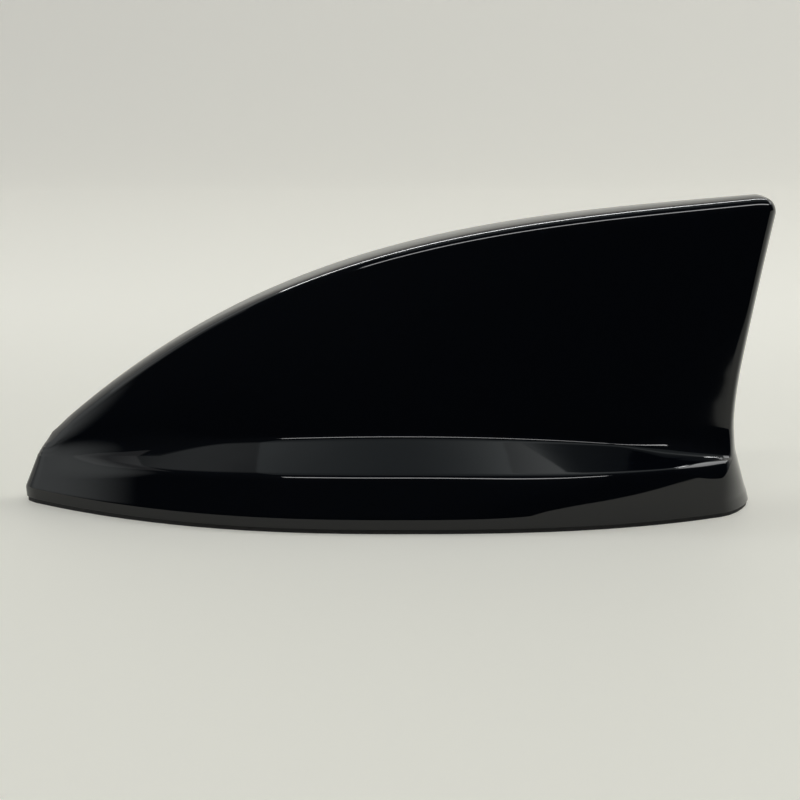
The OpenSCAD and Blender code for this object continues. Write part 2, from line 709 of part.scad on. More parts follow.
// A row of equal parts on the board, each l by w by h, from the place x, y with the step d along X
module parts_row(x, y, d, count, l, w, h) {
    for (i = [0 : count - 1])
        translate([x + i * d - l / 2, y - w / 2, board_top]) cube([l, w, h]);
}
module amplifier_chip() {
    color([0.1, 0.1, 0.1]) parts_row(can_x - can_l / 6, 0, 1, 1, chip_side, chip_side, chip_h);
}
module filter_chips() {
    x = strip_x - spring_w / 2 - filter_gap - filter_side / 2 - filter_step;
    color([0.8, 0.78, 0.7])
        parts_row(x, board_w / 2 - filter_row, filter_step, 2, filter_side, filter_side, filter_h);
}
module capacitors() {
    color([0.6, 0.45, 0.3]) {
        parts_row(foot_x + cap_l / 2, cap_row - board_w / 2, cap_step, 5, cap_l, cap_w, cap_h);
        parts_row(can_x + can_l / 8, can_row, can_l / 8, 3, cap_l, cap_w, cap_h);
    }
}
module inductors() {
    color([0.2, 0.2, 0.22]) {
        parts_row(foot_x + inductor_lead, inductor_row - board_w / 2, inductor_step, 3, inductor_l, inductor_w,
            inductor_h);
        parts_row(can_x + can_l / 8, -can_row, inductor_step, 2, inductor_l, inductor_w, inductor_h);
    }
}

// Socket for the lead on the rear edge of the board, open to the rear
socket_l = 6;
socket_w = 7;
socket_h = 6;
socket_edge = 9;
socket_y = board_w / 2 - socket_edge;
socket_bore = 2.2;
socket_x1 = board_x1 + 0.5;
socket_z = board_top + socket_h / 2;
module cable_socket() {
    color([0.75, 0.72, 0.6]) difference() {
        translate([socket_x1 - socket_l, socket_y - socket_w / 2, board_top]) cube([socket_l, socket_w, socket_h]);
        translate([socket_x1 - socket_l + 1, socket_y, socket_z]) rotate([0, 90, 0])
            cylinder(r = socket_bore, h = socket_l, $fn = 32);
    }
}
module socket_pin() {
    color("gold") translate([socket_x1 - socket_l + 1, socket_y, socket_z]) rotate([0, 90, 0])
        cylinder(r = pin_r, h = socket_l - 2, $fn = 24);
}

// Patch aerial: foam tape, ceramic tile, electrode and feed pin
patch_z = board_top + patch_pad_t;
module patch_layer(side, z, t) {
    difference() {
        translate([patch_x - side / 2, -side / 2, z]) cube([side, side, t]);
        translate([patch_x + feed_offset, 0, z - join]) cylinder(r = pin_r + pin_gap, h = t + 2 * join, $fn = 24);
    }
}
module patch_tape() {
    color([0.85, 0.85, 0.8]) patch_layer(patch_side - 1, board_top, patch_pad_t);
}
module patch_ceramic() {
    color([0.75, 0.7, 0.6]) patch_layer(patch_side, patch_z, patch_t);
}
module patch_electrode() {
    color([0.85, 0.85, 0.87]) patch_layer(electrode_side, patch_z + patch_t, foil_t);
}
module patch_pin() {
    color("silver") translate([patch_x + feed_offset, 0, board_z]) {
        cylinder(r = pin_r, h = board_t + patch_pad_t + patch_t + foil_t + 0.2, $fn = 24);
        translate([0, 0, board_t + patch_pad_t + patch_t + foil_t]) cylinder(r = 1, h = 0.4, $fn = 24);
    }
}

// Line under the shell's crown that the roof plate follows
function roof_z(x) = ridge_z(x) - (wall + head_gap) * ridge_steep(x);
roof_steps = 13;
// Points of that line from its step i0 to its step i1, lowered by d
function roof_run(i0, i1, d) = [for (i = [i0 : i1])
    let(x = lerp(carrier_x0, carrier_x1, i / roof_steps)) [x, roof_z(x) - d]];
function back_run(run) = [for (i = [len(run) - 1 : -1 : 0]) run[i]];

// A profile in the side view, given its width from y0 to y1
module side_sheet(y0, y1) {
    translate([0, y1, 0]) rotate([90, 0, 0]) linear_extrude(y1 - y0) children();
}

hole_d = (carrier_x1 - carrier_x0) / 4;
hole_r = 0.35 * hole_d;
hole_rise = 12;
carrier_neck = 4;
carrier_flare = 2;
carrier_tip_front = 6;
carrier_tip_rear = 8;
foot_t = 1.5;
module radiator_carrier() {
    foot_end = foot_x + foot_l;
    color([0.85, 0.85, 0.82]) {
        difference() {
            side_sheet(-carrier_t / 2, carrier_t / 2) polygon(concat(roof_run(0, roof_steps, sheet_t), [
                [carrier_x1, bridge_z + carrier_tip_rear],
                [foot_end + carrier_flare, bridge_z],
                [foot_end, bridge_z - carrier_neck],
                [foot_end, board_top],
                [foot_x, board_top],
                [foot_x, bridge_z - carrier_neck],
                [foot_x - carrier_flare, bridge_z],
                [carrier_x0, bridge_z + carrier_tip_front]]));
            for (i = [-1 : 1])
                translate([(carrier_x0 + carrier_x1) / 2 + i * hole_d, 0, bridge_z + hole_rise])
                    rotate([90, 0, 0])
                        cylinder(r = hole_r, h = carrier_t + 2, center = true, $fn = 48);
        }
        translate([foot_x, -foot_half, board_top]) cube([foot_l, 2 * foot_half, foot_t]);
        for (x = peg_x)
            translate([x, 0, board_z]) cylinder(r = peg_r, h = board_t + join, $fn = 32);
    }
}

// Sheet metal roof on the carrier, with a flange down each side
module roof_plate() {
    color([0.72, 0.73, 0.75]) {
        side_sheet(-roof_half, roof_half)
            polygon(concat(roof_run(0, roof_steps, 0), back_run(roof_run(0, roof_steps, sheet_t))));
        for (y = [-roof_half, roof_half - sheet_t])
            side_sheet(y, y + sheet_t)
                polygon(concat(roof_run(0, roof_steps, 0), back_run(roof_run(1, roof_steps - 1, flange_d))));
    }
}

// Copper strip on the carrier's side, from the contact spring up to the roof plate
strip_rise = 4;
strip_foot = board_top + strip_rise;
module radiator_strip() {
    y0 = carrier_t / 2;
    tab_z = roof_z(strip_x - strip_w / 2) - flange_d + 1;
    color([0.72, 0.4, 0.25]) {
        translate([strip_x - strip_w / 2, y0, strip_foot]) cube([strip_w, foil_t, tab_z + 1 - strip_foot]);
        translate([strip_x - strip_w / 2, y0, tab_z]) cube([strip_w, roof_half - sheet_t - y0, 1]);
    }
}

// Bent leaf with the thickness t along a run of points
function turn_left(v) = [-v[1], v[0]] / norm(v);
function leaf_side(p, t) = [for (i = [0 : len(p) - 1]) let(
        a = turn_left(p[max(i, 1)] - p[max(i, 1) - 1]),
        b = turn_left(p[min(i + 1, len(p) - 1)] - p[min(i + 1, len(p) - 1) - 1]),
        m = (a + b) / norm(a + b))
    p[i] + m * t / (m * a)];
spring_gap = 0.6;
spring_reach = 8;
spring_h = 7;
touch_gap = 0.1;
// How far the bent leaf reaches past its drawn line, as a part of its thickness
leaf_bend = 1.25;
module contact_spring() {
    touch = carrier_t / 2 + foil_t + leaf_bend * foil_t + touch_gap;
    run = [
        [foot_half + spring_gap, 0],
        [spring_reach, 0],
        [spring_reach + 0.6, 1.5],
        [touch, spring_h],
        [touch + 1, spring_h + 2]];
    color("gold") translate([strip_x + spring_w / 2, 0, board_top])
        rotate([90, 0, -90])
            mirror([1, 0, 0])
                linear_extrude(spring_w)
                    polygon(concat(run, back_run(leaf_side(run, foil_t))));
}

// Coil on its former, with a leg at its foot
former_gap = 0.2;
former_h = coil_turns * coil_pitch + 4;
module coil_former() {
    color([0.9, 0.9, 0.88]) translate([coil_x, coil_y, board_top]) difference() {
        cylinder(r = coil_r - wire_r - former_gap, h = former_h, $fn = 48);
        translate([0, 0, former_h - 1.2]) cylinder(r = 1.5, h = 2, $fn = 24);
    }
}
coil_sides = 8;
turn_steps = 16;
leg_bend = 1;
bend_steps = 3;
coil_z0 = board_top + 2;
// The wire's path: a list of places, each with the wire's direction and its outward direction there
coil_path = concat(
    [[[coil_r, -leg_bend, board_top - coil_z0], [0, 0, 1], [1, 0, 0]]],
    [for (i = [0 : bend_steps - 1]) let(a = 90 * i / bend_steps)
        [[coil_r, -leg_bend * cos(a), leg_bend * (sin(a) - 1)], [0, sin(a), cos(a)], [1, 0, 0]]],
    [for (i = [0 : coil_turns * turn_steps]) let(a = 360 * i / turn_steps)
        [[coil_r * cos(a), coil_r * sin(a), coil_pitch * i / turn_steps],
            [-sin(a), cos(a), 0],
            [cos(a), sin(a), 0]]]);
module loading_coil() {
    steps = len(coil_path) - 1;
    points = [for (q = coil_path) for (j = [0 : coil_sides - 1]) let(b = 360 * j / coil_sides)
        q[0] + wire_r * (cos(b) * q[2] + sin(b) * cross(q[1], q[2]))];
    faces = concat(
        [[for (j = [0 : coil_sides - 1]) j]],
        [for (i = [0 : steps - 1]) for (j = [0 : coil_sides - 1]) let(
                a = i * coil_sides + j,
                b = i * coil_sides + (j + 1) % coil_sides)
            each [[a, a + coil_sides, b], [b, a + coil_sides, b + coil_sides]]],
        [[for (j = [coil_sides - 1 : -1 : 0]) steps * coil_sides + j]]);
    color([0.7, 0.42, 0.25]) translate([coil_x, coil_y, coil_z0])
        polyhedron(points = points, faces = faces, convexity = 8);
}

// Foam pad between the roof plate and the crown
pad_half = 2.4;
pad_play = 0.5;
pad_steps = 3;
module rattle_pad() {
    first = pad_steps;
    final = roof_steps - pad_steps;
    color([0.2, 0.2, 0.2]) side_sheet(-pad_half, pad_half)
        polygon(concat(roof_run(first, final, pad_play - head_gap), back_run(roof_run(first, final, 0))));
}

shell();
weather_seal();
base_plate();
bond_pad_front();
bond_pad_rear();
cable_grommet();
base_screws();
circuit_board();
board_screws();
shield_can();
amplifier_chip();
filter_chips();
capacitors();
inductors();
cable_socket();
socket_pin();
patch_tape();
patch_ceramic();
patch_electrode();
patch_pin();
radiator_carrier();
roof_plate();
radiator_strip();
contact_spring();
coil_former();
loading_coil();
rattle_pad();
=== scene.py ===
import math

import bmesh
import bpy
from mathutils import Matrix, Vector


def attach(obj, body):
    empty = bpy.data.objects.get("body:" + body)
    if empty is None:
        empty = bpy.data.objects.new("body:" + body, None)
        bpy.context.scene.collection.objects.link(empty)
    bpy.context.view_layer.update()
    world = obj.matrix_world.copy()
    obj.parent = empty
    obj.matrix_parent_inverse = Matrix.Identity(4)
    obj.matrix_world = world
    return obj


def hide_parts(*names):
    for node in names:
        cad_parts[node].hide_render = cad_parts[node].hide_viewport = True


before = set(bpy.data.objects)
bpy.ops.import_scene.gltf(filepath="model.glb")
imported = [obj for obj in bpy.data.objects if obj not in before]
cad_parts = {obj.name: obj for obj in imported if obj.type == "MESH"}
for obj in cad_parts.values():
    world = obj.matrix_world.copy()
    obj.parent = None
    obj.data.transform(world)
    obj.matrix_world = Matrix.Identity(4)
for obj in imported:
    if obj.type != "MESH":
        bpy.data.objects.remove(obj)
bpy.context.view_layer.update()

MM = 0.001

# The photograph's viewpoint: beside the middle of the fin, a little above it and looking slightly down
CAMERA_PLACE = (1.05 * MM, -420 * MM, 104.66 * MM)
CAMERA_PITCH = 11
cam_data = bpy.data.cameras.new("camera")
cam_data.sensor_width = 36
cam_data.lens = 85.2
cam_data.clip_start = 0.01
cam_data.clip_end = 20
cam = bpy.data.objects.new("camera", cam_data)
cam.location = CAMERA_PLACE
cam.rotation_euler = (math.radians(90 - CAMERA_PITCH), 0, 0)
bpy.context.scene.collection.objects.link(cam)
bpy.context.scene.camera = cam

# Sizes of the shell, as in part.scad, in mm
FIN_L, FIN_H = 168.4, 69.4
TAIL_OVERHANG, KNEE_Z, NOSE_LEAN = 3.8, 15.8, 23
RIDGE_END_SLOPE, RIDGE_POWER = 0.085, 3.2
TAIL_CORNER_R, WAIST_Z, FOOT_FLARE = 4.6, 25, 4.6
BASE_W, NOSE_HALF, NOSE_ROUND = 62.8, 4.6, 3.3
TAIL_HALF, TAIL_ROUND, FRONT_POWER, REAR_POWER = 16.8, 8.2, 2.35, 2.7
LOW_HALF, LOW_Z, HIGH_HALF, HIGH_Z = 28, 11.7, 19, 18.6
LOW_TAIL_HALF, LOW_TAIL_ROUND, HIGH_TAIL_HALF, SIDE_BULGE, BULGE_RISE = 15.5, 5.5, 11.3, 0.7, 20
CROWN_HALF, CROWN_TAIL_HALF, CROWN_NOSE_HALF = 7.4, 4.6, 2.7
CREASE_PART, KNEE_SOFT, NOSE_SQUARE = 3.0, 0.98, 2.6
CROWN_DROP, CROWN_ROUND = 0.9, 2.0
WALL, RIM_H, SEAL_T, PLATE_T, PLATE_GAP = 2.2, 2.2, 1.0, 2.6, 0.3

NOSE_X0, TAIL_X1 = -FIN_L / 2, FIN_L / 2
FOOT_X1 = TAIL_X1 - TAIL_OVERHANG
RIM_Z = SEAL_T + RIM_H
FLARE_Z, FLARE_POWER = 1.5, 2.6
PLATE_TOP = SEAL_T + PLATE_T
SEAT_Z = PLATE_TOP + PLATE_GAP
CORNER_Z = FIN_H - TAIL_CORNER_R
WAIST_X = FOOT_X1 - FOOT_FLARE
LEAN = math.tan(math.radians(NOSE_LEAN))
RIDGE_X0 = NOSE_X0 + (KNEE_Z - RIM_Z) * LEAN + KNEE_SOFT
RIDGE_X1 = TAIL_X1 - TAIL_CORNER_R
RIDGE_L = RIDGE_X1 - RIDGE_X0
RIDGE_RISE = FIN_H - KNEE_Z - RIDGE_END_SLOPE * RIDGE_L
SIDE_DEPTH = CROWN_DROP + CROWN_ROUND


def lerp(a, b, t):
    return a + (b - a) * t


def clamp(v, lo=0.0, hi=1.0):
    return min(max(v, lo), hi)


def smooth(t):
    t = clamp(t)
    return t * t * (3 - 2 * t)


def sin90(t):
    return math.sin(math.radians(90 * t))


def cos90(t):
    return math.cos(math.radians(90 * t))


def soft_ramp(d, w):
    return 0 if d < -w else d if d > w else (d + w) ** 2 / (4 * w)


def nose_x(z):
    return NOSE_X0 + max(0, z - RIM_Z) * LEAN


def back_x(z):
    return (WAIST_X + (TAIL_X1 - WAIST_X) * soft_ramp(z - WAIST_Z, 8) / (CORNER_Z - WAIST_Z)
            + FOOT_FLARE * clamp((WAIST_Z - z) / (WAIST_Z - FLARE_Z)) ** FLARE_POWER)


def ridge_z(x):
    part = clamp((x - RIDGE_X0) / RIDGE_L)
    return KNEE_Z + RIDGE_RISE * (1 - (1 - part) ** RIDGE_POWER) + RIDGE_END_SLOPE * RIDGE_L * part


def ridge_steep(x):
    return math.hypot(1, ridge_z(x + 1) - ridge_z(x))


def end_cap(q, power):
    return 1 if q >= 1 else 0 if q <= 0 else (1 - (1 - q) ** power) ** (1 / power)


# A level line holds the places of its nose and tail, its half width at the nose, in the middle and at the tail,
# the lengths of its nose and tail roundings, and the powers of its front and rear tapers.

def line_y(n, x):
    """Half width of the level line n at the place x."""
    if x < 0:
        front = clamp(x / (n[0] + n[5]), 0, 1.2)
        side = n[2] + (n[3] - n[2]) * (1 - front ** n[7])
    else:
        rear = clamp(x / (n[1] - n[6]), 0, 1.2)
        side = n[4] + (n[3] - n[4]) * (1 - rear ** n[8])
    return max(side, 0.2 * n[2]) * end_cap((x - n[0]) / n[5], NOSE_SQUARE) * end_cap((n[1] - x) / n[6], 2)


def line_x(n, s):
    """Place of the station s along the level line n."""
    part, t = s
    if part == 0:
        return n[0] + n[5] * (1 - cos90(t))
    if part == 1:
        return lerp(n[0] + n[5], 0, t)
    if part == 2:
        return lerp(0, n[1] - n[6], t)
    return n[1] - n[6] * (1 - sin90(t))


def tail_part(s):
    """How far round the tail a station is, from 0 on the side to 1 on the middle plane."""
    return 1 - cos90(s[1]) if s[0] == 3 else 0


def foot_line(w):
    return (NOSE_X0 + w, FOOT_X1 - w, NOSE_HALF - w, BASE_W / 2 - w, TAIL_HALF - w,
            NOSE_ROUND - 0.6 * w, TAIL_ROUND, FRONT_POWER, REAR_POWER)


def rim_line(w):
    return foot_line(w)[:1] + (back_x(RIM_Z) - w,) + foot_line(w)[2:]


LOW_NOSE_DROP, LOW_TAIL_RISE, HIGH_NOSE_DROP, HIGH_TAIL_RISE = 2.9, 0.4, 3.9, 0.7
LOW_NOSE_Z, LOW_TAIL_Z = LOW_Z - LOW_NOSE_DROP, LOW_Z + LOW_TAIL_RISE
HIGH_NOSE_Z, HIGH_TAIL_Z = KNEE_Z - HIGH_NOSE_DROP, LOW_Z + HIGH_TAIL_RISE
LOW_NOSE_IN, LOW_ROUND_LESS, LOW_REAR_POWER = 0.5, 0.4, 3.4
HIGH_NOSE_IN, HIGH_ROUND_LESS, HIGH_TAIL_ROUND, HIGH_FRONT_POWER, HIGH_REAR_POWER = 1.2, 0.9, 2.4, 2.2, 1.9


def low_line(w):
    return (nose_x(LOW_NOSE_Z) + w, back_x(LOW_TAIL_Z - CREASE_PART) - w,
            NOSE_HALF - LOW_NOSE_IN - w, LOW_HALF - w, LOW_TAIL_HALF - w,
            NOSE_ROUND - LOW_ROUND_LESS - 0.6 * w, LOW_TAIL_ROUND, FRONT_POWER, LOW_REAR_POWER)


def high_line(w):
    return (nose_x(HIGH_NOSE_Z) + w, back_x(HIGH_TAIL_Z + CREASE_PART) - w,
            NOSE_HALF - HIGH_NOSE_IN - w, HIGH_HALF - w, HIGH_TAIL_HALF - w,
            NOSE_ROUND - HIGH_ROUND_LESS - 0.4 * w, HIGH_TAIL_ROUND, HIGH_FRONT_POWER, HIGH_REAR_POWER)


def arch_z(x, mid, nose, tail, front, rear):
    if x < 0:
        return lerp(mid, nose, clamp(x / NOSE_X0) ** front)
    return lerp(mid, tail, clamp(x / WAIST_X) ** rear)


def low_crease_z(x):
    return arch_z(x, LOW_Z, LOW_NOSE_Z, LOW_TAIL_Z, front=2.5, rear=3)


def high_crease_z(x):
    return arch_z(x, HIGH_Z, HIGH_NOSE_Z, HIGH_TAIL_Z, front=1.8, rear=2)


KNEE_X = nose_x(KNEE_Z - SIDE_DEPTH)
KNEE_LEAN = SIDE_DEPTH * LEAN


def knee_nose(d):
    """Place of the crown's nose at the depth d under the crest: it turns from the nose front to the ridge."""
    up = 1 - d / SIDE_DEPTH
    return KNEE_X + KNEE_LEAN * up + (RIDGE_X0 - KNEE_X - KNEE_LEAN) * up * up


def crown_point(s, w, h, y, d, a):
    """A point of the crown: the part h of its half width, moved out by y and down by d."""
    rad = math.radians(a)
    n = (knee_nose(d) + w, RIDGE_X1 + (TAIL_CORNER_R - w) * math.cos(rad),
         CROWN_NOSE_HALF - w, CROWN_HALF - w, CROWN_TAIL_HALF - w, NOSE_ROUND - 1.6, 2.2, 3, 2)
    x = line_x(n, s)
    half = line_y(n, x)
    edge = end_cap((x - n[0]) / n[5], NOSE_SQUARE) * end_cap((n[1] - x) / n[6], 2)
    z = ridge_z(x) - w * ridge_steep(x) - d
    z_end = ridge_z(RIDGE_X1) - w - d
    z_tail = CORNER_Z + (TAIL_CORNER_R - w) * math.sin(rad)
    return Vector((x, half * h + y * edge, z - (z_end - z_tail) * tail_part(s)))


def flat_part(s):
    """Part of the crown's half width before its rounding, less towards the nose."""
    along = s[1] if s[0] == 1 else 0 if s[0] == 0 else 1
    return lerp(0.3, 1 - CROWN_ROUND / CROWN_HALF, smooth(1.3 * along))


def bend(a, b, c, t):
    return a * (1 - t) ** 2 + 2 * b * t * (1 - t) + c * t * t


def wall_point(top, foot, t, bulge, s):
    p = top.lerp(foot, t)
    end = sin90(s[1]) if s[0] == 0 else cos90(s[1]) if s[0] == 3 else 1
    lean = back_x(p.z) - lerp(back_x(top.z), back_x(foot.z), t)
    rear = clamp(p.x / TAIL_X1)
    rise = clamp((top.z - foot.z) / BULGE_RISE)
    return Vector((p.x + lean * rear ** 3, p.y + 4 * bulge * rise * t * (1 - t) * end * (1 - rear), p.z))


def high_point(s, w):
    n = high_line(w)
    x = line_x(n, s)
    under_side = ridge_z(x) - w * ridge_steep(x) - SIDE_DEPTH - 0.5
    z = high_crease_z(x) + CREASE_PART * tail_part(s)
    return Vector((x, line_y(n, x), min(z - 0.6 * w, under_side)))


def low_point(s, w):
    n = low_line(w)
    x = line_x(n, s)
    return Vector((x, line_y(n, x), low_crease_z(x) - CREASE_PART * tail_part(s) - 0.6 * w))


def foot_point(s, w, z):
    n = rim_line(w) if z > SEAL_T else foot_line(w)
    x = line_x(n, s)
    return Vector((x, line_y(n, x), z))


def skirt_point(low, rim, t, s):
    """The skirt: flat at the front, standing upright at the rear, hollow where it runs round the tail."""
    upright = smooth((rim.x - 5) / 40)
    u = lerp(lerp(t, 1 - (1 - t) ** 2.2, upright), t ** 1.5, tail_part(s))
    return Vector((lerp(low.x, rim.x, u), lerp(low.y, rim.y, u), lerp(low.z, rim.z, t)))


def eased(k, count):
    """Steps that are closer together at both ends of a run."""
    return 0.5 - 0.5 * math.cos(math.pi * k / count)


CAP_STEPS, RUN_STEPS = 16, 64
STATIONS = ([(0, i / CAP_STEPS) for i in range(CAP_STEPS)] + [(1, i / RUN_STEPS) for i in range(RUN_STEPS)]
            + [(2, i / RUN_STEPS) for i in range(RUN_STEPS)] + [(3, i / CAP_STEPS) for i in range(CAP_STEPS + 1)])

CROWN_STEPS, WALL_STEPS, SHOULDER_STEPS, SKIRT_STEPS, BAND_STEPS, ROUND_STEPS = 8, 18, 8, 12, 4, 6
CREASE_R, RIM_R, EDGE_R = 0.8, 0.45, 0.35


def high_round(x):
    return CREASE_R + 5 * smooth((-35 - x) / 30) + 5 * smooth((x - 48) / 20)


def low_round(x):
    return CREASE_R + 2 * smooth((-45 - x) / 30) + 2.5 * smooth((x - 58) / 14)


def outer_profile(s):
    """The outside of the shell at one station, from the crest down to the edge of the rim."""
    flat = flat_part(s)
    rows = [crown_point(s, 0, 0, 0, 0, 90)]
    for k in range(1, CROWN_STEPS + 1):
        t = k / CROWN_STEPS
        rows.append(crown_point(s, 0, flat * t, 0, CROWN_DROP * (flat * t) ** 2, lerp(90, 45, t)))
    for k in range(1, CROWN_STEPS + 1):
        t = k / CROWN_STEPS
        rows.append(crown_point(s, 0, bend(flat, 1, 1, t), bend(0, 0, 0.3 * CROWN_ROUND, t),
                                bend(CROWN_DROP * flat ** 2, CROWN_DROP, SIDE_DEPTH, t), lerp(45, 0, t)))
    side, high, low = rows[-1], high_point(s, 0), low_point(s, 0)
    rim, edge = foot_point(s, 0, RIM_Z), foot_point(s, 0.2, SEAL_T)
    r_high, r_low = high_round(high.x), low_round(low.x)

    def run(curve, length, r0, r1, count, first):
        """Points of one run between two roundings, which take r0 and r1 of its length."""
        t0, t1 = min(r0 / length, 0.45), 1 - min(r1 / length, 0.45)
        return [curve(lerp(t0, t1, eased(k, count))) for k in range(first, count + 1)]

    def rounding(before, corner, after):
        return [bend(before, corner, after, k / ROUND_STEPS) for k in range(1, ROUND_STEPS)]

    wall = run(lambda t: wall_point(side, high, t, SIDE_BULGE, s), (side - high).length, 0, r_high, WALL_STEPS, 1)
    shoulder = run(lambda t: wall_point(high, low, t, 0, s), (high - low).length, r_high, r_low, SHOULDER_STEPS, 0)
    skirt = run(lambda t: skirt_point(low, rim, t, s), (low - rim).length, r_low, RIM_R, SKIRT_STEPS, 0)
    band = run(lambda t: rim.lerp(edge, t), (rim - edge).length, RIM_R, EDGE_R, BAND_STEPS, 0)
    return (rows + wall + rounding(wall[-1], high, shoulder[0]) + shoulder
            + rounding(shoulder[-1], low, skirt[0]) + skirt
            + rounding(skirt[-1], rim, band[0]) + band + [band[-1].lerp(edge, 0.7), edge])


def inner_profile(s):
    """The inside of the shell at one station, from under the crest down to the edge of the rim."""
    side, high, low = crown_point(s, WALL, 1, 0, SIDE_DEPTH, 0), high_point(s, WALL), low_point(s, WALL)
    seat = foot_point(s, WALL, SEAT_Z)
    return ([crown_point(s, WALL, 0, 0, 0, 90), crown_point(s, WALL, 0.6, 0, 0.3 * CROWN_DROP, 45), side]
            + [wall_point(side, high, k / 3, 0.8 * SIDE_BULGE, s) for k in (1, 2)]
            + [high, low, skirt_point(low, seat, 0.6, s), seat, foot_point(s, WALL, SEAL_T)])


MERGE_MM = 1e-4


def piece(name, bm, finish, slot, *nodes):
    """Makes a finished bmesh, drawn in mm, a piece of the fixed part."""
    bmesh.ops.scale(bm, vec=(MM, MM, MM), verts=bm.verts)
    mesh = bpy.data.meshes.new(name)
    bm.to_mesh(mesh)
    bm.free()
    mesh.shade_smooth()
    mesh.materials.append(finish)
    obj = bpy.data.objects.new(name, mesh)
    bpy.context.scene.collection.objects.link(obj)
    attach(obj, "root")
    if nodes:
        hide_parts(*nodes)
    return obj


def skin(bm, profile):
    """A grid laid over half of the shell and mirrored to the other half."""
    rows = [profile(s) for s in STATIONS]
    across, down = len(rows) - 1, len(rows[0]) - 1
    made = bmesh.ops.create_grid(bm, x_segments=across, y_segments=down, size=1)
    for v in made["verts"]:
        i = round((v.co.x + 1) / 2 * across)
        j = round((v.co.y + 1) / 2 * down)
        v.co = rows[i][j]
    faces = list({f for v in made["verts"] for f in v.link_faces})
    bmesh.ops.mirror(bm, geom=made["verts"] + faces, matrix=Matrix.Identity(4), merge_dist=MERGE_MM, axis="Y")


def linear(code):
    """Linear colour of an sRGB hex code."""
    parts = [int(code[i:i + 2], 16) / 255 for i in (1, 3, 5)]
    return [c / 12.92 if c <= 0.04045 else ((c + 0.055) / 1.055) ** 2.4 for c in parts] + [1.0]


def material(name, **sockets):
    """A material with the plain values of its shader set on the sockets."""
    mat = bpy.data.materials.new(name)
    mat.use_nodes = True
    shader = mat.node_tree.nodes["Principled BSDF"]
    for key, value in sockets.items():
        shader.inputs[key.replace("_", " ")].default_value = value
    return mat


def feed(mat, **sockets):
    """Links output sockets to the sockets of a material's shader."""
    shader = mat.node_tree.nodes["Principled BSDF"]
    for key, socket in sockets.items():
        mat.node_tree.links.new(socket, shader.inputs[key.replace("_", " ")])


def node(owner, kind, links=(), **settings):
    """Adds a node: settings starting with in_ are input values, and links are (input, output socket)."""
    made = owner.node_tree.nodes.new(kind)
    for key, value in settings.items():
        if key.startswith("in_"):
            made.inputs[int(key[3:]) if key[3:].isdigit() else key[3:].replace("_", " ")].default_value = value
        else:
            setattr(made, key, value)
    for name, socket in links:
        owner.node_tree.links.new(socket, made.inputs[name])
    return made


# ABS, injection moulded in a polished tool: deep black with a mirror finish and a faint orange peel
gloss_black = material("gloss_black_abs", Base_Color=linear("#05080f"), Roughness=0.045, IOR=1.5)
place = node(gloss_black, "ShaderNodeTexCoord")
peel = node(gloss_black, "ShaderNodeTexNoise", [("Vector", place.outputs["Object"])], in_Scale=90.0,
            in_Detail=1.0, in_Roughness=0.4)
peel_bump = node(gloss_black, "ShaderNodeBump", [("Height", peel.outputs["Fac"])], in_Strength=0.03,
                 in_Distance=MM)
feed(gloss_black, Normal=peel_bump.outputs["Normal"])


def in_mm(mat, stretch=(1, 1, 1)):
    """Object coordinates in mm, stretched along an axis where a grain runs that way."""
    coords = node(mat, "ShaderNodeTexCoord")
    return node(mat, "ShaderNodeMapping", [("Vector", coords.outputs["Object"])],
                in_Scale=[k / MM for k in stretch]).outputs["Vector"]


def grained(name, dark, light, grain, depth=0, stretch=(1, 1, 1), rough=None, **sockets):
    """A material whose colour and skin vary over a grain, given in mm with the depth of its relief, if any."""
    mat = material(name, **sockets)
    noise = node(mat, "ShaderNodeTexNoise", [("Vector", in_mm(mat, stretch))], in_Scale=1 / grain, in_Detail=3.0)
    tint = node(mat, "ShaderNodeMix", [(0, noise.outputs["Fac"])], data_type="RGBA",
                in_6=linear(dark), in_7=linear(light))
    feed(mat, Base_Color=tint.outputs[2])
    if depth:
        relief = node(mat, "ShaderNodeBump", [("Height", noise.outputs["Fac"])], in_Distance=depth * MM)
        feed(mat, Normal=relief.outputs["Normal"])
    if rough:
        sheen = node(mat, "ShaderNodeMapRange", [("Value", noise.outputs["Fac"])], in_1=0.3, in_2=0.7,
                     in_3=rough[0], in_4=rough[1])
        feed(mat, Roughness=sheen.outputs["Result"])
    return mat


# EPDM, compression moulded: nearly black, matt, with a faint bloom and a fine moulded grain
seal_rubber = grained("moulded_epdm_rubber", "#131314", "#222223", 0.4, 0.015, IOR=1.52, rough=(0.62, 0.8))

# Glass-filled nylon, injection moulded: dark grey, with short fibres that show as fine streaks along the flow
base_plastic = grained("moulded_glass_filled_nylon", "#1b1c1e", "#313235", 0.35, 0.02,
                       stretch=(0.25, 1, 1), IOR=1.53, rough=(0.42, 0.62))

# Acrylic foam tape, cast and cut: dark grey closed cells of about 0.4 mm, matt
bond_foam = grained("acrylic_foam_tape", "#2c2c2e", "#3f3f42", 0.8, IOR=1.48, Roughness=0.86)
cells = node(bond_foam, "ShaderNodeTexVoronoi", [("Vector", in_mm(bond_foam))], in_Scale=2.5)
cell_relief = node(bond_foam, "ShaderNodeBump", [("Height", cells.outputs["Distance"])], in_Distance=0.08 * MM)
feed(bond_foam, Normal=cell_relief.outputs["Normal"])

# Polyurethane foam, cut from a block: charcoal open cells of about 0.8 mm, very matt
open_foam = grained("cut_polyurethane_foam", "#1d1d1f", "#3a3a3e", 1.5, IOR=1.45, Roughness=0.95)
cells = node(open_foam, "ShaderNodeTexVoronoi", [("Vector", in_mm(open_foam))], feature="SMOOTH_F1", in_Scale=1.25)
cell_relief = node(open_foam, "ShaderNodeBump", [("Height", cells.outputs["Distance"])], in_Distance=0.4 * MM)
feed(open_foam, Normal=cell_relief.outputs["Normal"])

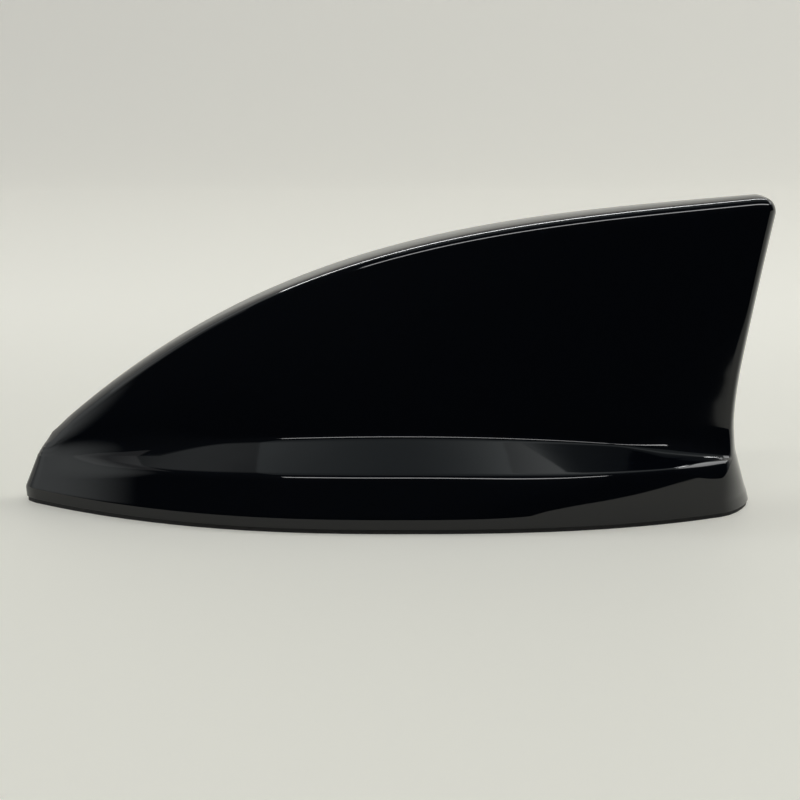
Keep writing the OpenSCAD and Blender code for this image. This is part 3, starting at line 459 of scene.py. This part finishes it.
# Steel, zinc plated and passivated: bright, a little blue and yellow in patches, soft from the plating barrel
zinc_steel = grained("zinc_plated_steel", "#aeb4b8", "#cfcdc2", 0.9, 0.006, Metallic=1.0, rough=(0.24, 0.42))

# Tin plate, rolled and pressed: bright grey metal with fine rolling lines along the sheet
tinned_sheet = grained("rolled_tin_plate", "#b9bcbe", "#d4d6d6", 0.18, 0.004, stretch=(0.05, 1, 1),
                       Metallic=1.0, rough=(0.2, 0.36))

# Epoxy moulding compound: charcoal, with the fine frosted skin of its mould
chip_black = grained("moulded_epoxy", "#171718", "#262627", 0.12, 0.012, IOR=1.55, rough=(0.5, 0.66))

# Ferrite, pressed and sintered: dark grey with fine dark pores
ferrite = grained("sintered_ferrite", "#232325", "#3b3b3e", 0.15, 0.015, IOR=1.6, rough=(0.4, 0.6))

# Low temperature ceramic, fired flat: pale, slightly warm, with a fine speckle
ceramic_pale = grained("fired_pale_ceramic", "#c4beae", "#dcd7c9", 0.2, 0.006, IOR=1.6, rough=(0.4, 0.55))

# Microwave ceramic, pressed, fired and ground: tan with a fine darker speckle and faint grinding marks
ceramic_tan = grained("ground_microwave_ceramic", "#a3927a", "#c2b49c", 0.3, 0.008, stretch=(1, 0.3, 1),
                      IOR=1.65, rough=(0.45, 0.62))

# Barium titanate, fired: the brown body of a chip capacitor
capacitor_brown = grained("fired_barium_titanate", "#76573a", "#94704c", 0.15, 0.004, IOR=1.6,
                          rough=(0.36, 0.5))

# Brass, drawn and gold flashed: warm bright metal with faint drawing lines
socket_brass = grained("gold_flashed_brass", "#c9a24e", "#e2c377", 0.25, 0.003, stretch=(0.1, 1, 1),
                       Metallic=1.0, rough=(0.18, 0.32))

# Silver paste, printed and fired on ceramic: pale, soft metal with the mesh of the printing screen
silver_print = grained("fired_silver_print", "#bdbcb6", "#d8d7d0", 0.35, Metallic=1.0,
                       rough=(0.38, 0.55))
mesh_lines = node(silver_print, "ShaderNodeTexBrick", [("Vector", in_mm(silver_print))], offset=0.0,
                  in_Scale=1.0, in_Brick_Width=0.25, in_Row_Height=0.25, in_Mortar_Size=0.05,
                  in_Mortar_Smooth=1.0)
screen_relief = node(silver_print, "ShaderNodeBump", [("Height", mesh_lines.outputs["Fac"])], invert=True,
                     in_Distance=0.01 * MM)
feed(silver_print, Normal=screen_relief.outputs["Normal"])

# PBT, injection moulded and uncoloured: warm white, half matt, faintly cloudy
carrier_plastic = grained("moulded_natural_pbt", "#cfcbbd", "#e0dccf", 2.5, 0.01, IOR=1.56,
                          rough=(0.4, 0.52))

# Phosphor bronze, rolled and blanked: reddish bright strip with rolling lines, browned a little in patches
copper_strip = grained("rolled_phosphor_bronze", "#b0683f", "#d39468", 0.3, 0.004, stretch=(1, 1, 0.06),
                       Metallic=1.0, rough=(0.22, 0.4))

# Enamelled copper wire, drawn: copper under a clear lacquer, with darker patches where it was bent
coil_copper = grained("enamelled_copper_wire", "#a2552c", "#c47a48", 0.8, 0.003, Metallic=1.0,
                      rough=(0.2, 0.34), Coat_Weight=1.0, Coat_Roughness=0.06)

# Glass and epoxy laminate with green solder resist: tracks show as lighter lines under the resist, on a weave of
# about 0.5 mm, and the cut edges are bare and straw coloured
board_laminate = material("solder_resist_laminate", IOR=1.52, Roughness=0.34)
place = in_mm(board_laminate)
warp = node(board_laminate, "ShaderNodeTexWave", [("Vector", place)], bands_direction="X", in_Scale=0.31)
weft = node(board_laminate, "ShaderNodeTexWave", [("Vector", place)], bands_direction="Y", in_Scale=0.31)
weave = node(board_laminate, "ShaderNodeMath", [(0, warp.outputs["Fac"]), (1, weft.outputs["Fac"])],
             operation="MULTIPLY")
tracks = node(board_laminate, "ShaderNodeTexBrick", [("Vector", place)], offset=0.37, in_Scale=1.0,
              in_Brick_Width=7.3, in_Row_Height=2.1, in_Mortar_Size=0.16, in_Mortar_Smooth=0.3)
resist = node(board_laminate, "ShaderNodeMix", [(0, weave.outputs["Value"])], data_type="RGBA",
              in_6=linear("#0d3a20"), in_7=linear("#144a2a"))
over = node(board_laminate, "ShaderNodeMix", [(0, tracks.outputs["Fac"]), (6, resist.outputs[2])],
            data_type="RGBA", in_7=linear("#2c6b3c"))
coords = node(board_laminate, "ShaderNodeTexCoord")
normal = node(board_laminate, "ShaderNodeSeparateXYZ", [("Vector", coords.outputs["Normal"])])
level = node(board_laminate, "ShaderNodeMath", [(0, normal.outputs["Z"])], operation="ABSOLUTE")
faces = node(board_laminate, "ShaderNodeMath", [(0, level.outputs["Value"])], operation="GREATER_THAN", in_1=0.5)
both = node(board_laminate, "ShaderNodeMix", [(0, faces.outputs["Value"]), (7, over.outputs[2])],
            data_type="RGBA", in_6=linear("#a8a06a"))
board_relief = node(board_laminate, "ShaderNodeBump", [("Height", tracks.outputs["Fac"])],
                    in_Distance=0.035 * MM)
feed(board_laminate, Base_Color=both.outputs[2], Normal=board_relief.outputs["Normal"])

# The nodes that keep their own mesh, each in its material
FINISHES = {
    "weather_seal": seal_rubber, "cable_grommet": seal_rubber, "base_plate": base_plastic,
    "bond_pad_front": bond_foam, "bond_pad_rear": bond_foam, "patch_tape": bond_foam, "rattle_pad": open_foam,
    "base_screws": zinc_steel, "board_screws": zinc_steel, "circuit_board": board_laminate,
    "shield_can": tinned_sheet, "roof_plate": tinned_sheet, "patch_pin": tinned_sheet,
    "amplifier_chip": chip_black, "filter_chips": ceramic_pale, "capacitors": capacitor_brown,
    "inductors": ferrite, "cable_socket": socket_brass, "socket_pin": socket_brass,
    "contact_spring": socket_brass, "patch_ceramic": ceramic_tan, "patch_electrode": silver_print,
    "radiator_carrier": carrier_plastic, "coil_former": carrier_plastic, "radiator_strip": copper_strip,
    "loading_coil": coil_copper}
for name, finish in FINISHES.items():
    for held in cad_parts[name].material_slots:
        held.material = finish

# The shell: its outside and inside, joined along the edge of the rim
KNEE_REACHES, KNEE_ROUNDS = (6.0, 5.0, 4.0, 3.0), 60
bm = bmesh.new()
skin(bm, outer_profile)
outer_rim = [e for e in bm.edges if e.is_boundary]
# The knee at the nose, where the crown, both creases and the skirt meet, is polished smooth.
knee = Vector((RIDGE_X0 + 0.5, 0, KNEE_Z - 0.5))
for reach in KNEE_REACHES:
    near = [v for v in bm.verts if (v.co - knee).length < reach]
    for _ in range(KNEE_ROUNDS):
        bmesh.ops.smooth_vert(bm, verts=near, factor=0.5, use_axis_x=True, use_axis_y=True, use_axis_z=True)
skin(bm, inner_profile)
inner_rim = [e for e in bm.edges if e.is_boundary and e not in set(outer_rim)]
bmesh.ops.bridge_loops(bm, edges=outer_rim + inner_rim)
bmesh.ops.recalc_face_normals(bm, faces=bm.faces)
piece("shell_moulding", bm, gloss_black, "gloss_black", "shell")

# The bosses that take the base screws
BOSS_X = (-53, 2, 54)
BOSS_R, BOSS_MARGIN, GUSSET_T, GUSSET_Z0 = 3.1, 1, 1.2, SEAT_Z + 0.6
SCREW_R, SCREW_L, SCREW_HEAD_H, PILOT_MARGIN, BOSS_STEPS = 1.3, 6.5, 1.3, 0.6, 32


def shoulder_z(x, y):
    """Height of the shoulder's outside at the place x, y."""
    low, high = line_y(low_line(0), x), line_y(high_line(0), x)
    return lerp(low_crease_z(x), high_crease_z(x), clamp((low - y) / (low - high)))


def boss(bm, x, side):
    """A screw boss with its pilot hole, and the rib that ties it to the skirt."""
    y = line_y(low_line(WALL), x) - BOSS_R - BOSS_MARGIN
    top = shoulder_z(x, y + BOSS_R) - WALL / 2
    pilot = PLATE_TOP + SCREW_L - (PLATE_T - SCREW_HEAD_H) + PILOT_MARGIN
    outline = [(0, pilot), (SCREW_R, pilot), (SCREW_R, PLATE_TOP), (BOSS_R, PLATE_TOP), (BOSS_R, top), (0, top)]
    verts = [bm.verts.new((x + r, side * y, z)) for r, z in outline]
    edges = [bm.edges.new(pair) for pair in zip(verts, verts[1:])]
    bmesh.ops.spin(bm, geom=verts + edges, cent=(x, side * y, 0), axis=(0, 0, 1), angle=2 * math.pi,
                   steps=BOSS_STEPS, use_merge=True)
    foot = line_y(foot_line(WALL), x) + WALL / 4
    low = line_y(low_line(WALL), x) + WALL / 2
    crease = low_crease_z(x) - 0.6 * WALL
    corners = [(y, GUSSET_Z0), (foot, GUSSET_Z0), (low, crease), (y, crease)]
    face = bm.faces.new([bm.verts.new((x - GUSSET_T / 2, side * a, z)) for a, z in corners])
    pushed = bmesh.ops.extrude_face_region(bm, geom=[face])["geom"]
    bmesh.ops.translate(bm, vec=(GUSSET_T, 0, 0), verts=[v for v in pushed if isinstance(v, bmesh.types.BMVert)])


bm = bmesh.new()
for x in BOSS_X:
    for side in (-1, 1):
        boss(bm, x, side)
bmesh.ops.remove_doubles(bm, verts=bm.verts, dist=MERGE_MM)
bmesh.ops.recalc_face_normals(bm, faces=bm.faces)
piece("shell_bosses", bm, gloss_black, "gloss_black", "shell").data.shade_flat()

# The table glows faintly where the camera or the gloss sees it: more to the rear, and up its wall in the gloss
table_white = material("matt_white_table", Base_Color=linear("#e8e6da"), Roughness=0.6,
                       Emission_Color=linear("#f4f3ee"))
ray = node(table_white, "ShaderNodeLightPath")
seen = node(table_white, "ShaderNodeMath", [(0, ray.outputs["Is Camera Ray"]), (1, ray.outputs["Is Glossy Ray"])],
            operation="ADD")
coords = node(table_white, "ShaderNodeTexCoord")
place = node(table_white, "ShaderNodeSeparateXYZ", [("Vector", coords.outputs["Object"])])
far = node(table_white, "ShaderNodeMapRange", [("Value", place.outputs["Y"])], interpolation_type="SMOOTHSTEP",
           in_1=-0.05, in_2=0.35, in_3=0.22, in_4=0.38)
floor = node(table_white, "ShaderNodeMath", [(0, seen.outputs[0]), (1, far.outputs["Result"])],
             operation="MULTIPLY")
height = node(table_white, "ShaderNodeMapRange", [("Value", place.outputs["Z"])], interpolation_type="SMOOTHSTEP",
              in_1=0.05, in_2=0.4, in_3=0.0, in_4=0.35)
rear = node(table_white, "ShaderNodeMath", [(0, height.outputs["Result"]), (1, ray.outputs["Is Glossy Ray"])],
            operation="MULTIPLY")
glow = node(table_white, "ShaderNodeMath", [(0, floor.outputs[0]), (1, rear.outputs[0])], operation="ADD")
feed(table_white, Emission_Strength=glow.outputs[0])

# It runs level from the front, turns up behind the part and ends as a wall. Lengths are in metres.
TABLE_HALF_W, TABLE_FRONT_Y, TABLE_REAR_Y, SWEEP_R, REAR_RISE = 3, -2.5, 0.85, 0.3, 1.7
TABLE_STEPS = 30
bm = bmesh.new()
made = bmesh.ops.create_grid(bm, x_segments=2, y_segments=3 * TABLE_STEPS, size=1)
for v in made["verts"]:
    k = round((v.co.y + 1) / 2 * 3 * TABLE_STEPS)
    if k <= TABLE_STEPS:
        y, z = lerp(TABLE_FRONT_Y, TABLE_REAR_Y, k / TABLE_STEPS), 0
    elif k <= 2 * TABLE_STEPS:
        t = (k - TABLE_STEPS) / TABLE_STEPS
        y, z = TABLE_REAR_Y + SWEEP_R * sin90(t), SWEEP_R * (1 - cos90(t))
    else:
        y, z = TABLE_REAR_Y + SWEEP_R, SWEEP_R + REAR_RISE * (k - 2 * TABLE_STEPS) / TABLE_STEPS
    v.co = Vector((v.co.x * TABLE_HALF_W, y, z))
mesh = bpy.data.meshes.new("table")
bm.to_mesh(mesh)
bm.free()
mesh.shade_smooth()
mesh.materials.append(table_white)
table = bpy.data.objects.new("table", mesh)
bpy.context.scene.collection.objects.link(table)


def lamp(name, size, place, aim, level, colour="#ffffff"):
    """A rectangular soft lamp, size across and along in metres. The level is its brightness."""
    data = bpy.data.lights.new(name, "AREA")
    data.shape = "RECTANGLE"
    data.size, data.size_y = size
    data.color = linear(colour)[:3]
    data.energy = level * size[0] * size[1] * math.pi
    obj = bpy.data.objects.new(name, data)
    obj.location = place
    obj.rotation_mode = "QUATERNION"
    obj.rotation_quaternion = (Vector(place) - Vector(aim)).to_track_quat("Z", "Y")
    bpy.context.scene.collection.objects.link(obj)
    return obj


# The narrow strip at the rear is seen in the gloss alone, as the line of light along the crown
lamp("overhead_panel", (1.6, 0.4), (0.475, 0, 1.1), (0.475, 0, 0), 0.25, "#e8f4f6")
lamp("strip_rear", (1.15, 0.04), (0.02, 0.34, 0.95), (0.02, 0, 0), 45).visible_diffuse = False
lamp("front_panel", (1.25, 0.14), (0.12, -0.9, 1.35), (0.12, 0, 0), 8.5)
lamp("left_panel", (1.0, 0.8), (-1.5, 0.2, 1.5), (0, 0, 0), 0.25)
lamp("right_panel", (1.0, 0.8), (1.5, 0.4, 1.5), (0, 0, 0), 3.6)

# The room: dark on the side of the camera, pale behind the table and low at the far left, which the gloss shows
world = bpy.data.worlds.new("room")
bpy.context.scene.world = world
world.use_nodes = True
toward = node(world, "ShaderNodeTexCoord")
parts = node(world, "ShaderNodeSeparateXYZ", [("Vector", toward.outputs["Generated"])])
high = node(world, "ShaderNodeMapRange", [("Value", parts.outputs["Z"])], interpolation_type="SMOOTHSTEP",
            in_1=0.2, in_2=0.85, in_3=0.4, in_4=1.0)
rear = node(world, "ShaderNodeMapRange", [("Value", parts.outputs["Y"])], interpolation_type="SMOOTHSTEP",
            in_1=0.0, in_2=0.35, in_3=0.04, in_4=1.0)
back = node(world, "ShaderNodeMath", [(0, high.outputs["Result"]), (1, rear.outputs["Result"])],
            operation="MULTIPLY")
slant = node(world, "ShaderNodeMath", [(0, parts.outputs["Z"]), (2, parts.outputs["X"])],
             operation="MULTIPLY_ADD", in_1=-0.4)
left = node(world, "ShaderNodeMapRange", [("Value", slant.outputs["Value"])], interpolation_type="SMOOTHSTEP",
            in_1=-0.93, in_2=-1.07, in_3=0.0, in_4=0.95)
pale = node(world, "ShaderNodeMath", [(0, back.outputs["Value"]), (1, left.outputs["Result"])],
            operation="MAXIMUM")
ray = node(world, "ShaderNodeLightPath")
seen = node(world, "ShaderNodeMix", [(0, ray.outputs["Is Camera Ray"]), (2, pale.outputs["Value"])], in_3=0.78)
sky = world.node_tree.nodes["Background"]
sky.inputs["Color"].default_value = linear("#eff4f3")
world.node_tree.links.new(seen.outputs[0], sky.inputs["Strength"])

bpy.context.scene.view_settings.view_transform = "Standard"
